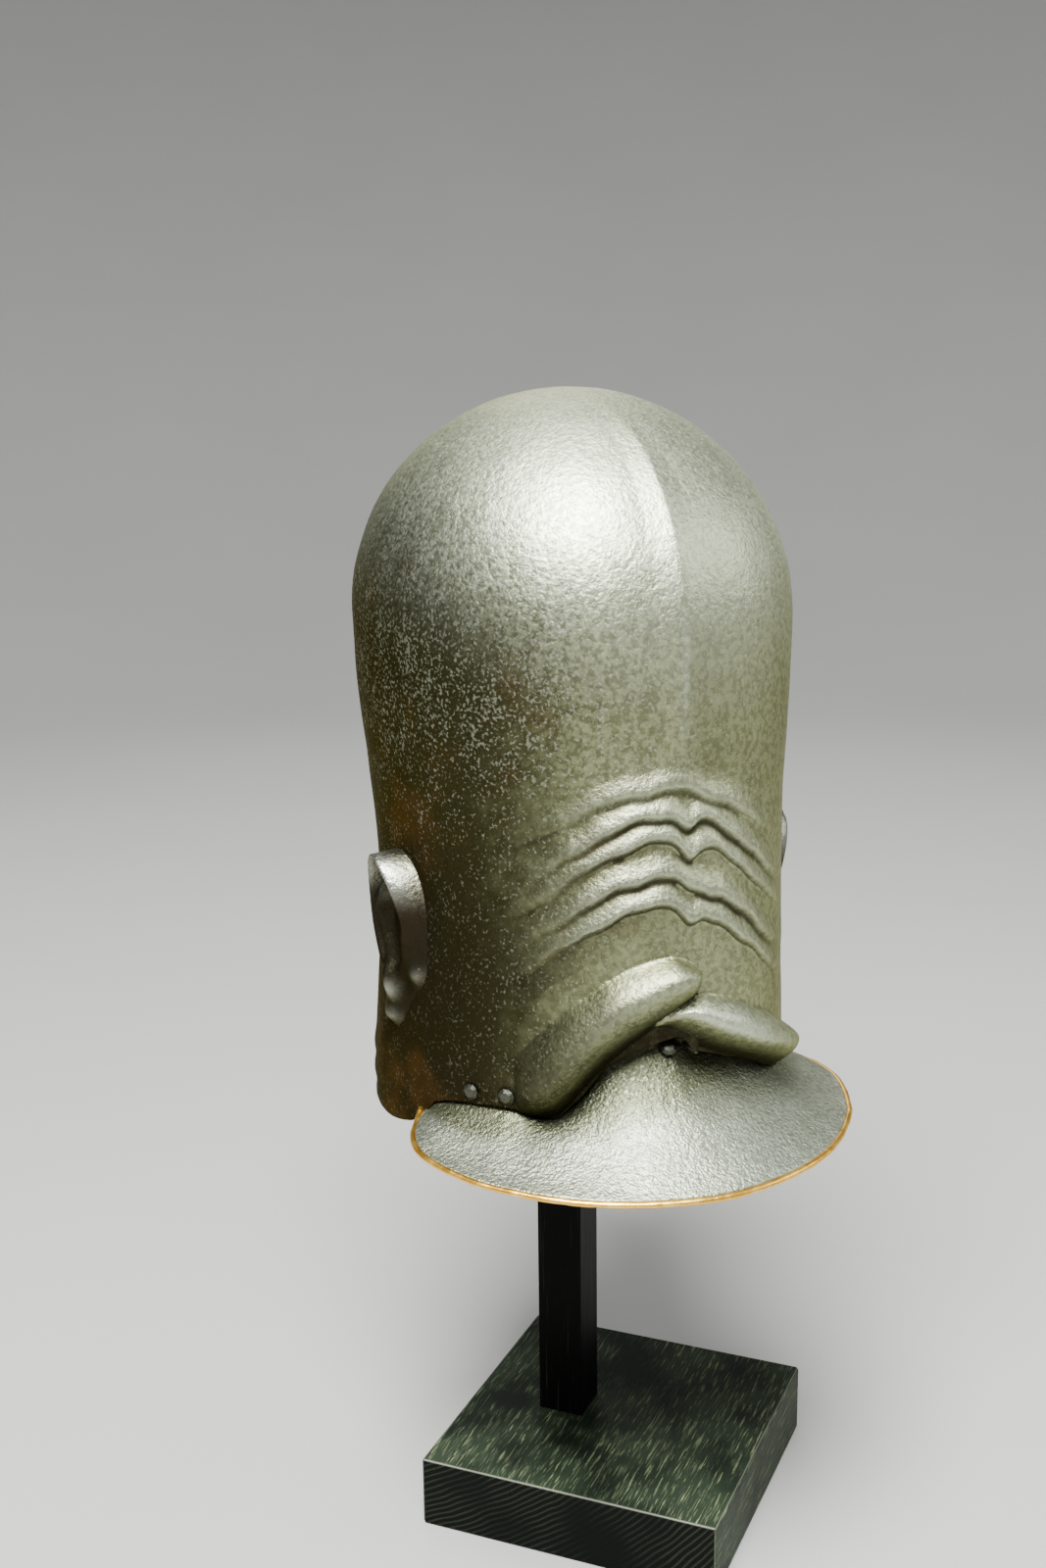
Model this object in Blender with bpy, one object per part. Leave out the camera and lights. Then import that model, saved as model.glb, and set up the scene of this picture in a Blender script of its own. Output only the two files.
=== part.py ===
"""Samurai helmet shaped as a tall bald head with a wrinkled brow, on its display stand.

The frame is in metres with +Z up. The helmet faces -Y, its own left is +X, and the origin lies on
the floor under the helmet's upright axis. Angles around the axis start at the front and grow
towards the helmet's left. Every table holds shares of the named sizes beside it, chosen by hand.
"""

import math

import bmesh
import bpy
import numpy as np
from mathutils import Matrix, Vector

# Display stand
BLOCK_SIDE = 0.160
BLOCK_HEIGHT = 0.038
BLOCK_BEVEL = 0.0012
BLOCK_TURN = math.radians(-46)
BLOCK_SHIFT = 0.0287
POST_SIDE = 0.0243
POST_BEHIND_AXIS = 0.0066
PAD_RADIUS = 0.038
PAD_HEIGHT = 0.018
PAD_CLEARANCE = 0.0012

# Bowl
BOWL_LIFT = 0.176
BOWL_WIDTH = 0.209
BOWL_LENGTH = 0.242
SHOULDER_HEIGHT = 0.264
DOME_HEIGHT = 0.106
BOWL_HEIGHT = SHOULDER_HEIGHT + DOME_HEIGHT
WALL = 0.0018
KEEL_RISE = 0.0012
KEEL_HALF_WIDTH = math.radians(3)
SEAT_GAP = 0.0003

# Embossed folds and brows
FOLD_RISE = 0.0036
FOLD_FULL = 0.45
FOLD_SOFT = 0.0060
FOLD_STEP = 0.0042
FOLD_STEP_TURN = (math.radians(-1), math.radians(5))
NOTCH_HALF_WIDTH = math.radians(2.4)
BROW_RISE = 0.0095
BROW_FADE = 0.036
BROW_FLAT = 0.2
ROOT_SHARE = 1.081
ROOT_BEND = 1.3

# Eye shade, its edging and the rivets
VISOR_WALL = 0.0018
VISOR_TUCK = 0.006
VISOR_CLEARANCE = 0.0013
VISOR_OVERHANG = 0.0535
VISOR_SAG = 0.003
VISOR_END = math.radians(66.5)
RIM_WIDTH = 0.0038
RIM_DEPTH = 0.0030
RIVET_RADIUS = 0.0040
RIVET_RISE = 0.0020
RIVET_LIFT = 0.006
CENTRE_RIVET_SHARE = 0.90
CENTRE_RIVET_ANGLE = math.radians(-1.9)
RIVET_ANGLES = (math.radians(40), math.radians(50))

# Ears
EAR_HEIGHT = 0.092
EAR_WIDTH = 0.048
EAR_RISE = 0.0100
EAR_LEAN = 0.75
EAR_LEAN_UP = 0.35
EAR_LEAN_BACK = 0.30
EAR_EGG = 0.24
EAR_EDGE = 0.0010
EAR_LIFT = 0.110
EAR_ANGLE = math.radians(80)

# Level sections of the bowl: height as a share of SHOULDER_HEIGHT, half width as a share of
# BOWL_WIDTH / 2, and the front and back half lengths as shares of BOWL_LENGTH / 2.
SECTIONS = {
    "height": (0.000, 0.091, 0.243, 0.394, 0.545, 0.659, 0.792, 0.905, 1.000),
    "side": (0.947, 0.967, 0.957, 0.938, 0.933, 0.947, 0.976, 0.995, 1.000),
    "front": (1.008, 1.025, 1.045, 1.054, 1.050, 1.025, 1.004, 1.000, 1.000),
    "back": (0.860, 0.868, 0.818, 0.769, 0.769, 0.818, 0.909, 0.975, 1.004),
}

# Lines round the bowl by angle from the front: its lower edge and the brow's lip on each side of
# the head, as shares of BOWL_HEIGHT. The hammered brow hangs lower on the helmet's left.
LINES = {
    "angle": (0, 5, 10, 16, 24, 29, 37, 49, 66, 70, 75, 94, 180),
    "right_edge": (0.224, 0.214, 0.203, 0.184, 0.135, 0.112, 0.124, 0.119, 0.101, 0.080, 0.056, 0.034, 0),
    "left_edge": (0.211, 0.192, 0.181, 0.168, 0.151, 0.138, 0.122, 0.119, 0.101, 0.080, 0.056, 0.034, 0),
    "right_lip": (0.297, 0.286, 0.268, 0.251, 0.208, 0.165, 0.165, 0.165, 0.15, 0.13, 0.11, 0.09, 0.06),
    "left_lip": (0.243, 0.224, 0.211, 0.195, 0.173, 0.159, 0.143, 0.165, 0.15, 0.13, 0.11, 0.09, 0.06),
}

# The folds droop to the sides of the brow, by angle, as shares of BOWL_HEIGHT.
DROOP = {
    "angle": (0, 6, 12, 18, 24, 30, 38, 50, 180),
    "right": (0, 0, 0.008, 0.024, 0.046, 0.070, 0.097, 0.115, 0.115),
    "left": (0, 0.008, 0.032, 0.059, 0.086, 0.105, 0.120, 0.125, 0.115),
}

# Folds from the lowest to the highest: crest height, droop factor, the step down to the left side
# and the notch on the median, heights as shares of BOWL_HEIGHT, and the angle where each dies out.
FOLDS = {
    "height": (0.403, 0.438, 0.481, 0.511, 0.541),
    "droop": (1.00, 1.00, 1.00, 1.00, 0.70),
    "step": (0.021, 0.021, 0.008, 0.005, 0.008),
    "notch": (0.024, 0.018, 0.022, 0.016, 0.000),
    "reach": (43, 41, 39, 39, 33),
}

# Where the ridge on the median starts, is full, fades and ends, as shares of BOWL_HEIGHT.
KEEL_SPAN = (0.50, 0.62, 0.85, 1.00)

# How far each brow stands out, by angle, as shares of BROW_RISE: a cleft on the median, and blunt
# outer ends, of which the left one stands out most.
BROWS = {
    "angle": (0, 2, 4.5, 12, 20, 27, 31, 34, 37.5, 180),
    "right": (0.15, 0.50, 0.95, 1.00, 1.00, 0.95, 0.80, 0.35, 0, 0),
    "left": (0.15, 0.45, 0.85, 0.95, 1.05, 1.25, 1.35, 1.20, 0, 0),
}

# Free edge of the eye shade by angle: how far it stands out beyond the bowl's edge, as a share of
# VISOR_OVERHANG, and its height above the bowl's lowest point as a share of BOWL_HEIGHT.
SHADE_EDGE = {
    "angle": (0, 20, 40, 55, 61, 64.5, 66.5),
    "beyond": (1.00, 0.88, 0.66, 0.52, 0.36, 0.18, 0.04),
    "height": (0.064, 0.0655, 0.0675, 0.0735, 0.0785, 0.0835, 0.0875),
}

# Ear from its edge inwards: ring radius and height of the relief as shares of the half size and
# of EAR_RISE.
EAR_RINGS = {
    "radius": (1.00, 0.93, 0.84, 0.74, 0.62, 0.46, 0.30, 0.12),
    "rise": (0.00, 0.45, 1.00, 0.90, 0.34, 0.52, 0.24, 0.18),
}

# Rivet head from its flat back to its crown: ring radius and height as shares of RIVET_RADIUS and
# RIVET_RISE.
RIVET_RINGS = {
    "radius": (1.0, 1.0, 0.62),
    "rise": (0.0, 0.35, 0.88),
}

# Vertex columns and rows
FRONT_ANGLES = np.linspace(0, 38, 13)
SIDE_ANGLES = np.linspace(44, 76, 7)
BACK_ANGLES = np.linspace(86, 180, 9)
HALF_ANGLES = np.radians(np.concatenate([FRONT_ANGLES, SIDE_ANGLES, BACK_ANGLES]))
COLUMNS = np.concatenate([-HALF_ANGLES[-2:0:-1], HALF_ANGLES])
UNDER_BROW = (0.0, 0.35, 0.75)
OVER_BROW = (0.0, 0.14, 0.34, 0.60)
OVER_CREST = 0.8
TO_SHOULDER = (0.35, 0.70)
DOME_RINGS = 7
EAR_SIDES = 20
VISOR_COLUMNS = 41
VISOR_ROWS = (0.0, 0.2, 0.4, 0.6, 0.8, 1.0)
RIM_SIDES = 6
RIVET_SIDES = 10
PAD_SIDES = 24
PAD_RINGS = (1.0, 0.66, 0.33)
SLOPE_STEP = 0.002


def blend(low, high, x):
    """Smooth step from 0 at low to 1 at high."""
    t = np.clip((x - low) / (high - low), 0, 1)
    return t * t * (3 - 2 * t)


def through(knots, values, x):
    """Smooth curve through a table's rows: cubic pieces that never overshoot, because a row's slope
    is the harmonic mean of those beside it, or none at a peak."""
    knots, values = np.asarray(knots, float), np.asarray(values, float)
    steep = np.diff(values) / np.diff(knots)
    product = steep[1:] * steep[:-1]
    both = np.where(product > 0, steep[1:] + steep[:-1], 1)
    slopes = np.concatenate([steep[:1], 2 * np.maximum(product, 0) / both, steep[-1:]])
    x = np.clip(x, knots[0], knots[-1])
    i = np.clip(np.searchsorted(knots, x, side="right") - 1, 0, len(knots) - 2)
    span = knots[i + 1] - knots[i]
    t = (x - knots[i]) / span
    start = (1 + 2 * t) * (1 - t) ** 2 * values[i] + t * (1 - t) ** 2 * span * slopes[i]
    end = t * t * (3 - 2 * t) * values[i + 1] - t * t * (1 - t) * span * slopes[i + 1]
    return start + end


def by_side(table, right, left, angle):
    """Value of a table that has a column for each side of the head."""
    degrees = np.degrees(np.abs(angle))
    rights = through(table["angle"], table[right], degrees)
    lefts = through(table["angle"], table[left], degrees)
    return np.where(angle < 0, rights, lefts)


def plain_radius(angle, height):
    """Distance from the axis to the bowl without its embossing: a half ellipse in front and another
    behind, which a quarter ellipse closes above the shoulder."""
    share = np.clip(height / SHOULDER_HEIGHT, 0, 1)
    side = through(SECTIONS["height"], SECTIONS["side"], share) * BOWL_WIDTH / 2
    front = through(SECTIONS["height"], SECTIONS["front"], share) * BOWL_LENGTH / 2
    back = through(SECTIONS["height"], SECTIONS["back"], share) * BOWL_LENGTH / 2
    length = np.where(np.cos(angle) > 0, front, back)
    rise = np.clip((height - SHOULDER_HEIGHT) / DOME_HEIGHT, 0, 1)
    closing = np.sqrt(1 - rise**2)
    return closing * side * length / np.hypot(length * np.sin(angle), side * np.cos(angle))


def edge_height(angle):
    """Height of the bowl's lower edge above the bowl's lowest point."""
    return by_side(LINES, "right_edge", "left_edge", angle) * BOWL_HEIGHT


def lip_height(angle):
    """Height of the brow's lip above the bowl's lowest point."""
    return by_side(LINES, "right_lip", "left_lip", angle) * BOWL_HEIGHT


def edge_radius(angle):
    """Distance from the axis to the lower edge, which stands in to a round root under the brows."""
    return np.minimum(plain_radius(angle, edge_height(angle)), ROOT_SHARE * BOWL_WIDTH / 2)


def fold_height(fold, angle):
    """Height of one fold's crest above the bowl's lowest point."""
    droop = by_side(DROOP, "right", "left", angle) * FOLDS["droop"][fold]
    step = FOLDS["step"][fold] * blend(*FOLD_STEP_TURN, angle)
    notch = FOLDS["notch"][fold] * np.exp(-((angle / NOTCH_HALF_WIDTH) ** 2))
    return (FOLDS["height"][fold] - droop - step - notch) * BOWL_HEIGHT


def fold_strength(fold, angle):
    """How far a fold stands out at an angle: all of it on the brow and nothing at the temples."""
    reach = FOLDS["reach"][fold]
    return 1 - blend(FOLD_FULL * reach, reach, np.degrees(np.abs(angle)))


def bowl_radius(angle, height):
    """Distance from the axis to the embossed bowl."""
    radius = plain_radius(angle, height)
    for fold in range(len(FOLDS["height"])):
        above = height - fold_height(fold, angle)
        soft = np.exp(-((np.maximum(above, 0) / FOLD_SOFT) ** 2))
        sharp = 1 - blend(0, FOLD_STEP, -above)
        radius = radius + FOLD_RISE * fold_strength(fold, angle) * soft * sharp
    low, full, fades, ends = KEEL_SPAN
    keel = np.exp(-((angle / KEEL_HALF_WIDTH) ** 2)) * blend(low, full, height / BOWL_HEIGHT)
    radius = radius + KEEL_RISE * keel * (1 - blend(fades, ends, height / BOWL_HEIGHT))
    lip = lip_height(angle)
    rise = BROW_RISE * by_side(BROWS, "right", "left", angle)
    bulge = 1 - blend(BROW_FLAT * BROW_FADE, BROW_FADE, height - lip)
    under = np.clip((lip - height) / (lip - edge_height(angle)), 0, 1) ** ROOT_BEND
    return (radius + rise * bulge) * (1 - under) + edge_radius(angle) * under


def place(angle, radius, height):
    """Points from angle, distance from the axis and height above the bowl's lowest point."""
    z = height + BLOCK_HEIGHT + BOWL_LIFT
    return np.stack([radius * np.sin(angle), -radius * np.cos(angle), z + 0 * radius], -1)


def material(name, colour, roughness, metallic):
    made = bpy.data.materials.new(name)
    made.use_nodes = True
    shader = made.node_tree.nodes["Principled BSDF"]
    shader.inputs["Base Color"].default_value = (*colour, 1)
    shader.inputs["Roughness"].default_value = roughness
    shader.inputs["Metallic"].default_value = metallic
    return made


def add(name, mesh, finish, smooth=True):
    mesh.materials.append(finish)
    if smooth:
        mesh.shade_smooth()
        mesh.set_sharp_from_angle(angle=math.radians(40))
    made = bpy.data.objects.new(name, mesh)
    bpy.context.collection.objects.link(made)
    return made


def grid_mesh(name, points, closed=False, apex=None):
    """Sheet over a grid of points, rows upwards and columns to the left. It may close round the
    axis and end in an apex point. Faces look away from the axis."""
    rows, columns = points.shape[:2]
    vertices = [tuple(p) for p in points.reshape(-1, 3)]
    faces = []
    for row in range(rows - 1):
        for column in range(columns if closed else columns - 1):
            following = (column + 1) % columns
            low, high = row * columns, (row + 1) * columns
            faces.append((low + column, low + following, high + following, high + column))
    if apex is not None:
        vertices.append(apex)
        high = (rows - 1) * columns
        faces += [(high + c, high + (c + 1) % columns, len(vertices) - 1) for c in range(columns)]
    mesh = bpy.data.meshes.new(name)
    mesh.from_pydata(vertices, [], faces)
    return mesh


def thicken(made, wall):
    """Turns a sheet into a plate, keeping its outer face."""
    plate = made.modifiers.new("plate", "SOLIDIFY")
    plate.thickness = wall
    plate.offset = -1
    plate.use_even_offset = False
    return made


def make_bowl(finish):
    """Iron shell open below. The rows follow the edge, the brow's lip and each fold."""
    angle = COLUMNS
    edge, lip = edge_height(angle), lip_height(angle)
    first = fold_height(0, angle) - FOLD_STEP
    rows = [edge + (lip - edge) * share for share in UNDER_BROW]
    rows += [lip + (first - lip) * share for share in OVER_BROW]
    for fold in range(len(FOLDS["height"])):
        crest = fold_height(fold, angle)
        rows += [crest - FOLD_STEP, crest, crest + FOLD_SOFT * OVER_CREST]
    last = rows[-1]
    rows += [last + (SHOULDER_HEIGHT - last) * share for share in TO_SHOULDER]
    for ring in range(DOME_RINGS):
        turn = ring / DOME_RINGS * math.pi / 2
        rows.append(SHOULDER_HEIGHT + DOME_HEIGHT * math.sin(turn) + 0 * angle)
    height = np.array(rows)
    angles = np.broadcast_to(angle, height.shape)
    points = place(angles, bowl_radius(angles, height), height)
    apex = (0, 0, BLOCK_HEIGHT + BOWL_LIFT + BOWL_HEIGHT)
    mesh = grid_mesh("bowl", points, closed=True, apex=apex)
    return thicken(add("bowl", mesh, finish), WALL)


def shade_edge(angle):
    """Distance from the axis and height of the eye shade's free edge."""
    degrees = np.degrees(np.abs(angle))
    beyond = through(SHADE_EDGE["angle"], SHADE_EDGE["beyond"], degrees) * VISOR_OVERHANG
    height = through(SHADE_EDGE["angle"], SHADE_EDGE["height"], degrees) * BOWL_HEIGHT
    return edge_radius(angle) + beyond, height


def flare(angle, share):
    """Outer face of the eye shade, from its free edge at share 0 up to the bowl's edge at share 1,
    hollowed by a small sag: its distance from the axis and its height."""
    reach, low = shade_edge(angle)
    root = edge_radius(angle) - WALL - VISOR_CLEARANCE
    sag = 4 * VISOR_SAG * share * (1 - share)
    return reach + (root - reach) * share, low + (edge_height(angle) - low) * share - sag


def visor_points():
    """Grid of the eye shade's outer face: rows from its free edge up to the root, which is tucked up
    behind the bowl's edge."""
    angle = np.linspace(-VISOR_END, VISOR_END, VISOR_COLUMNS)
    rows = [flare(angle, share) for share in VISOR_ROWS]
    radius, height = rows[-1]
    rows.append((radius, height + VISOR_TUCK))
    return np.array([place(angle, radius, height) for radius, height in rows])


def make_visor(finish):
    """Eye shade of one plate."""
    return thicken(add("visor", grid_mesh("visor", visor_points()), finish), VISOR_WALL)


def make_visor_rim(finish):
    """Rounded edging strip along the eye shade's free edge."""
    middle, within = visor_points()[:2]
    along = np.gradient(middle, axis=0)
    along /= np.linalg.norm(along, axis=1)[:, None]
    outward = middle - within
    outward -= along * np.sum(outward * along, axis=1)[:, None]
    outward /= np.linalg.norm(outward, axis=1)[:, None]
    upward = np.cross(outward, along)
    upward *= np.sign(upward[:, 2])[:, None]
    middle = middle + outward * (RIM_WIDTH / 2 + SEAT_GAP) - upward * VISOR_WALL / 2
    mesh = bpy.data.meshes.new("visor_rim")
    shape = bmesh.new()
    turns = np.linspace(0, 2 * math.pi, RIM_SIDES, endpoint=False)
    loops = []
    for centre, out, up in zip(middle, outward, upward):
        wide, thick = out * RIM_WIDTH / 2, up * RIM_DEPTH / 2
        ring = [centre + wide * math.cos(turn) + thick * math.sin(turn) for turn in turns]
        loops.append([shape.verts.new(point) for point in ring])
    for near, far in zip(loops, loops[1:]):
        for side in range(RIM_SIDES):
            following = (side + 1) % RIM_SIDES
            shape.faces.new((near[side], near[following], far[following], far[side]))
    shape.faces.new(loops[0])
    shape.faces.new(loops[-1])
    bmesh.ops.recalc_face_normals(shape, faces=shape.faces)
    shape.to_mesh(mesh)
    shape.free()
    return add("visor_rim", mesh, finish)


def ear_points(side, lift, relief):
    """Points of the ear's outer or inner face. side is 1 on the helmet's left."""
    turn = np.linspace(0, 2 * math.pi, EAR_SIDES, endpoint=False)
    rings = []
    for share, rise in zip(EAR_RINGS["radius"], EAR_RINGS["rise"]):
        across = share * EAR_WIDTH / 2 * np.cos(turn) * (1 + EAR_EGG * np.sin(turn))
        height = EAR_LIFT + share * EAR_HEIGHT / 2 * np.sin(turn)
        angle = side * (EAR_ANGLE + across / (BOWL_WIDTH / 2))
        lean = EAR_LEAN + share * (EAR_LEAN_UP * np.sin(turn) + EAR_LEAN_BACK * np.cos(turn))
        radius = plain_radius(angle, height) + lift + relief * rise * lean * EAR_RISE
        rings.append(place(angle, radius, height))
    return rings


def make_ear(name, side, finish):
    """Embossed ear, seated on the bowl's side: rolled helix, hollow and inner ridge."""
    outer = ear_points(side, SEAT_GAP + EAR_EDGE, 1)
    inner = ear_points(side, SEAT_GAP, 0)
    mesh = bpy.data.meshes.new(name)
    shape = bmesh.new()
    loops = [[shape.verts.new(p) for p in ring] for ring in outer[::-1] + inner]
    for near, far in zip(loops, loops[1:]):
        for i in range(EAR_SIDES):
            following = (i + 1) % EAR_SIDES
            shape.faces.new((near[i], near[following], far[following], far[i]))
    shape.faces.new(loops[0])
    shape.faces.new(loops[-1])
    bmesh.ops.triangulate(shape, faces=[f for f in shape.faces if len(f.verts) > 4])
    bmesh.ops.recalc_face_normals(shape, faces=shape.faces)
    shape.to_mesh(mesh)
    shape.free()
    return add(name, mesh, finish)


def make_rivet(name, centre, outward, finish):
    """Domed rivet head with a flat back."""
    mesh = bpy.data.meshes.new(name)
    shape = bmesh.new()
    turn = np.linspace(0, 2 * math.pi, RIVET_SIDES, endpoint=False)
    loops = []
    for share, rise in zip(RIVET_RINGS["radius"], RIVET_RINGS["rise"]):
        x, y = RIVET_RADIUS * share * np.cos(turn), RIVET_RADIUS * share * np.sin(turn)
        loops.append([shape.verts.new((a, b, RIVET_RISE * rise)) for a, b in zip(x, y)])
    for low, high in zip(loops, loops[1:]):
        for i in range(RIVET_SIDES):
            following = (i + 1) % RIVET_SIDES
            shape.faces.new((low[i], low[following], high[following], high[i]))
    crown = shape.verts.new((0, 0, RIVET_RISE))
    for i in range(RIVET_SIDES):
        shape.faces.new((loops[-1][i], loops[-1][(i + 1) % RIVET_SIDES], crown))
    shape.faces.new(loops[0][::-1])
    bmesh.ops.recalc_face_normals(shape, faces=shape.faces)
    shape.to_mesh(mesh)
    shape.free()
    made = add(name, mesh, finish)
    quaternion = outward.to_track_quat("Z", "Y")
    made.matrix_world = Matrix.Translation(centre) @ quaternion.to_matrix().to_4x4()
    return made


def make_rivets(finish):
    """One rivet near the median of the eye shade and a row on each side of the bowl's edge. Each
    seat is a function of two numbers, and the rivet stands square to it."""

    def on_shade(angle, share):
        return place(angle, *flare(angle, share))

    def on_bowl(angle, height):
        return place(angle, bowl_radius(angle, height), height)

    seats = {"rivet_centre": (on_shade, np.float64(CENTRE_RIVET_ANGLE), CENTRE_RIVET_SHARE)}
    for index, turn in enumerate(RIVET_ANGLES, 1):
        for name, side in (("right", -1), ("left", 1)):
            angle = np.float64(side * turn)
            seats[f"rivet_{name}_{index}"] = (on_bowl, angle, edge_height(angle) + RIVET_LIFT)
    step = SLOPE_STEP
    for name, (seat, angle, second) in seats.items():
        here = seat(angle, second)
        across, up = seat(angle + step, second) - here, seat(angle, second + step) - here
        outward = Vector(np.cross(across, up)).normalized()
        flatness = RIVET_RADIUS**2 / BOWL_WIDTH
        make_rivet(name, Vector(here) + outward * (SEAT_GAP + flatness), outward, finish)


def box_mesh(name, size, height, bevel):
    mesh = bpy.data.meshes.new(name)
    shape = bmesh.new()
    bmesh.ops.create_cube(shape, size=1)
    bmesh.ops.scale(shape, vec=(size, size, height), verts=shape.verts)
    bmesh.ops.translate(shape, vec=(0, 0, height / 2), verts=shape.verts)
    if bevel:
        bmesh.ops.bevel(shape, geom=shape.edges, offset=bevel, segments=1, affect="EDGES")
    shape.to_mesh(mesh)
    shape.free()
    return mesh


def make_stand(block_finish, post_finish, pad_finish):
    """Square block, square post behind the helmet's axis, and a pad that fills the crown's inside."""
    body = box_mesh("base_block", BLOCK_SIDE, BLOCK_HEIGHT, BLOCK_BEVEL)
    block = add("base_block", body, block_finish, False)
    shift = Matrix.Rotation(BLOCK_TURN, 4, "Z") @ Matrix.Translation((BLOCK_SHIFT, 0, 0))
    foot = Matrix.Translation((0, POST_BEHIND_AXIS, 0))
    block.matrix_world = foot @ shift
    crown = BOWL_HEIGHT - WALL - PAD_CLEARANCE
    pad_low = crown - PAD_HEIGHT
    post_height = BOWL_LIFT + pad_low - 2 * SEAT_GAP
    post = add("post", box_mesh("post", POST_SIDE, post_height, 0), post_finish, False)
    up = Matrix.Translation((0, 0, BLOCK_HEIGHT + SEAT_GAP))
    post.matrix_world = foot @ Matrix.Rotation(BLOCK_TURN, 4, "Z") @ up
    angle = np.linspace(-math.pi, math.pi, PAD_SIDES, endpoint=False)
    inside = BOWL_WIDTH / 2 - 2 * WALL
    rows = [(PAD_RADIUS + 0 * angle, pad_low + 0 * angle)]
    for share in PAD_RINGS:
        radius = PAD_RADIUS * share + 0 * angle
        fall = (DOME_HEIGHT - WALL) * (1 - np.sqrt(1 - (radius / inside) ** 2))
        rows.append((radius, crown - fall))
    points = np.array([place(angle, radius, height) for radius, height in rows])
    top = (0, 0, BLOCK_HEIGHT + BOWL_LIFT + crown)
    mesh = grid_mesh("head_support", points, closed=True, apex=top)
    shape = bmesh.new()
    shape.from_mesh(mesh)
    bmesh.ops.holes_fill(shape, edges=[e for e in shape.edges if e.is_boundary])
    bmesh.ops.recalc_face_normals(shape, faces=shape.faces)
    shape.to_mesh(mesh)
    shape.free()
    add("head_support", mesh, pad_finish)


for old in list(bpy.data.objects):
    bpy.data.objects.remove(old)

make_bowl(material("russet iron", (0.080, 0.072, 0.052), 0.38, 0.85))
make_visor(material("grey iron", (0.16, 0.16, 0.14), 0.40, 0.85))
make_visor_rim(material("worn gilt", (0.62, 0.36, 0.12), 0.35, 1.0))
make_ear("ear_right", -1, material("right ear iron", (0.090, 0.084, 0.064), 0.36, 0.85))
make_ear("ear_left", 1, material("left ear iron", (0.090, 0.084, 0.064), 0.36, 0.85))
make_rivets(material("rivet iron", (0.11, 0.105, 0.085), 0.42, 0.85))
make_stand(
    material("dark oak", (0.020, 0.019, 0.016), 0.45, 0.0),
    material("black post", (0.010, 0.010, 0.010), 0.40, 0.0),
    material("plain pad", (0.030, 0.030, 0.030), 0.80, 0.0),
)
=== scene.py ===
import math

import bpy
import numpy as np
from mathutils import Matrix, Vector


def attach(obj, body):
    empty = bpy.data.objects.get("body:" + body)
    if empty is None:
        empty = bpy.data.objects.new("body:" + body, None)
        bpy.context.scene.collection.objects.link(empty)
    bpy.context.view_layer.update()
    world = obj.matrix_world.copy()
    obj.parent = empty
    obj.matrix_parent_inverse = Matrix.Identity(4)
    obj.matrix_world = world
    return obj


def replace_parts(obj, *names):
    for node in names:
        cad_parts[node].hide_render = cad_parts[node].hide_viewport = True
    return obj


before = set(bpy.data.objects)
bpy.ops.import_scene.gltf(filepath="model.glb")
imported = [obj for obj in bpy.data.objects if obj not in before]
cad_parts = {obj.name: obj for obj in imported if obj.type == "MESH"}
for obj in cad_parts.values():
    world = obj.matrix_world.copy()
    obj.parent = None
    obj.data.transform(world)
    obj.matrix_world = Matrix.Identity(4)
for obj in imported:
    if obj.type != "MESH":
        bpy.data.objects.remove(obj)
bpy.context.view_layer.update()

# The view: the camera stands a little to the helmet's right and above it.
EYE = Vector((-0.38025, -0.83055, 0.60616))
AHEAD = Vector((0.382008, 0.894562, -0.232009))
ASIDE = Vector((0.918436, -0.395379, -0.012249))
LENS = 42.787

upward = ASIDE.cross(AHEAD)
turned = Matrix((ASIDE, upward, -AHEAD)).transposed().to_4x4()
camera = bpy.data.objects.new("camera", bpy.data.cameras.new("camera"))
camera.data.lens = LENS
camera.data.sensor_width = 36
camera.data.sensor_fit = "AUTO"
camera.matrix_world = Matrix.Translation(EYE) @ turned
bpy.context.scene.collection.objects.link(camera)
bpy.context.scene.camera = camera

# The light: a soft lamp high in front, a wide one overhead, weak ones around and a grey room.
# Each lamp has a place, a width and a power in watts.
LAMPS = {
    "key": ((-0.66, -0.96, 2.30), 1.25, 270),
    "overhead": ((0.10, 0.10, 2.60), 1.60, 18),
    "left": ((1.70, -0.80, 1.30), 1.00, 15),
    "right": ((-1.80, 0.30, 1.20), 1.00, 2),
    "behind": ((0.60, 1.60, 1.60), 1.00, 8),
}
AIM = Vector((0.0, 0.0, 0.40))
ROOM_COLOUR = (0.58, 0.61, 0.58, 1)
ROOM_STRENGTH = 0.30

for name, (spot, width, power) in LAMPS.items():
    lamp = bpy.data.lights.new(name, "AREA")
    lamp.shape = "DISK"
    lamp.size = width
    lamp.energy = power
    lit = bpy.data.objects.new(name, lamp)
    toward = (AIM - Vector(spot)).to_track_quat("-Z", "Y").to_matrix().to_4x4()
    lit.matrix_world = Matrix.Translation(spot) @ toward
    bpy.context.scene.collection.objects.link(lit)
room = bpy.data.worlds.new("room")
room.use_nodes = True
room.node_tree.nodes["Background"].inputs["Color"].default_value = ROOM_COLOUR
room.node_tree.nodes["Background"].inputs["Strength"].default_value = ROOM_STRENGTH
bpy.context.scene.world = room


class Socket:
    """An output of a finish's node tree. Sums on it are written as plain Python."""

    def __init__(self, finish, socket):
        self.finish = finish
        self.socket = socket

    def _math(self, operation, first, second):
        return self.finish.node("Math", {"operation": operation}, {0: first, 1: second})

    def __add__(self, other):
        return self._math("ADD", self, other)

    def __radd__(self, other):
        return self._math("ADD", other, self)

    def __sub__(self, other):
        return self._math("SUBTRACT", self, other)

    def __rsub__(self, other):
        return self._math("SUBTRACT", other, self)

    def __mul__(self, other):
        return self._math("MULTIPLY", self, other)

    def __rmul__(self, other):
        return self._math("MULTIPLY", other, self)


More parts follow.
